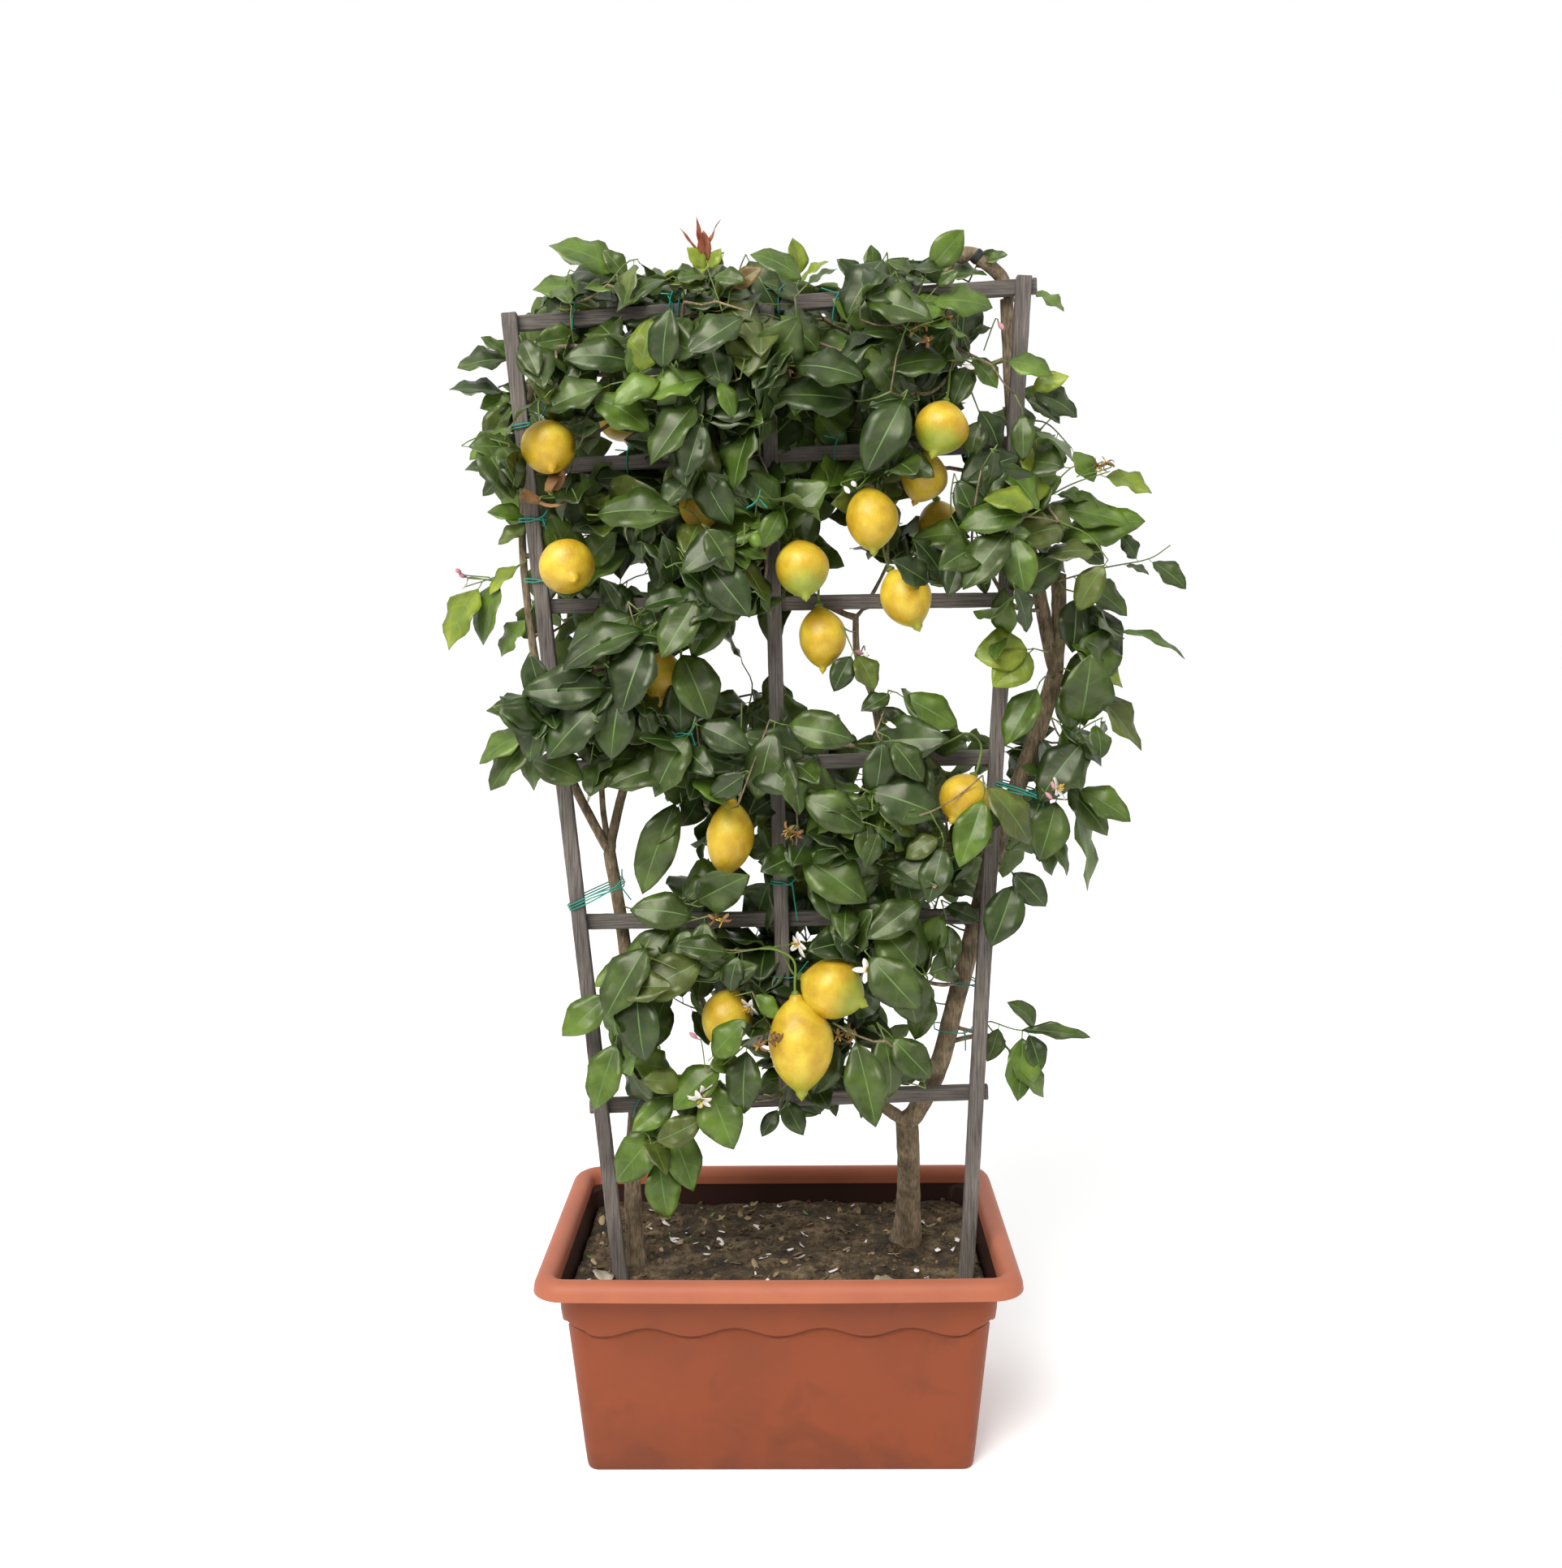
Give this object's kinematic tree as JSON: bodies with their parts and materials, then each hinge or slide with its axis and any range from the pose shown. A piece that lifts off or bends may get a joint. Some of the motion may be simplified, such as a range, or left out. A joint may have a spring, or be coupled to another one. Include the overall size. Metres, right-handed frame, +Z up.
{
  "type": "potted lemon tree",
  "caption": "Lemon tree trained flat on a batten trellis in a rectangular plastic planter, with two stems, named boughs and separate foliage masses.",
  "frame": {"origin": "on the ground, at the middle of the planter's flat underside", "axes": "+Z up, the row's longest extent; -Y is the front, where the trellis stands in the planter; +X is to the right seen from the front"},
  "size_m": [0.918, 0.405, 1.53],
  "materials": {
    "planter_plastic": "terracotta-coloured moulded polypropylene, satin, lightly scuffed",
    "potting_soil": "dark brown potting soil, crumbly and matt, with fallen petals and dry leaves",
    "weathered_timber": "sawn softwood battens weathered grey, with fine grain and checks",
    "bark": "grey-brown bark with fine lengthwise fissures",
    "leaves": "leathery citrus leaves, glossy dark green above and paler olive below",
    "lemon_rind": "waxy dimpled lemon rind, yellow with green tips",
    "blossom": "white waxy petals, flushed pink in bud and tan when withered",
    "tie_wire": "green plastic-coated garden wire",
    "strap": "black plastic tie strap"
  },
  "bodies": {
    "root": {"bough_centre_high": "bark", "bough_centre_low": "bark", "bough_left_inner": "bark", "bough_left_middle": "bark", "bough_left_outer": "bark", "bough_right_arch": "bark", "bough_right_leader": "bark", "bough_right_low": "bark", "bough_right_stub": "bark", "bough_right_upper": "bark", "foliage_front_foot_left": "leaves", "foliage_front_low_left": "leaves", "foliage_front_low_middle": "leaves", "foliage_front_low_right": "leaves", "foliage_front_shoulder_right": "leaves", "foliage_front_top_left": "leaves", "foliage_front_top_middle": "leaves", "foliage_front_top_right": "leaves", "foliage_front_upper_left": "leaves", "foliage_front_upper_middle": "leaves", "foliage_front_upper_right": "leaves", "foliage_front_waist_left": "leaves", "foliage_front_waist_middle": "leaves", "foliage_front_waist_right": "leaves", "foliage_rear_low_left": "leaves", "foliage_rear_low_right": "leaves", "foliage_rear_top_left": "leaves", "foliage_rear_top_middle": "leaves", "foliage_rear_top_right": "leaves", "foliage_rear_upper_left": "leaves", "foliage_rear_upper_middle": "leaves", "foliage_rear_upper_right": "leaves", "foliage_rear_waist_left": "leaves", "foliage_rear_waist_middle": "leaves", "foliage_rear_waist_right": "leaves", "foliage_side_far_right": "leaves", "foliage_side_low_right": "leaves", "foliage_side_top_left": "leaves", "foliage_side_top_right": "leaves", "foliage_side_upper_left": "leaves", "foliage_side_upper_right": "leaves", "foliage_side_waist_right": "leaves", "planter": "planter_plastic", "rail_1": "weathered_timber", "rail_2": "weathered_timber", "rail_3": "weathered_timber", "rail_4": "weathered_timber", "rail_5": "weathered_timber", "rail_6": "weathered_timber", "soil": "potting_soil", "stem_left": "bark", "stem_right": "bark", "upright_left": "weathered_timber", "upright_middle": "weathered_timber", "upright_right": "weathered_timber"}
  },
  "joints": []
}
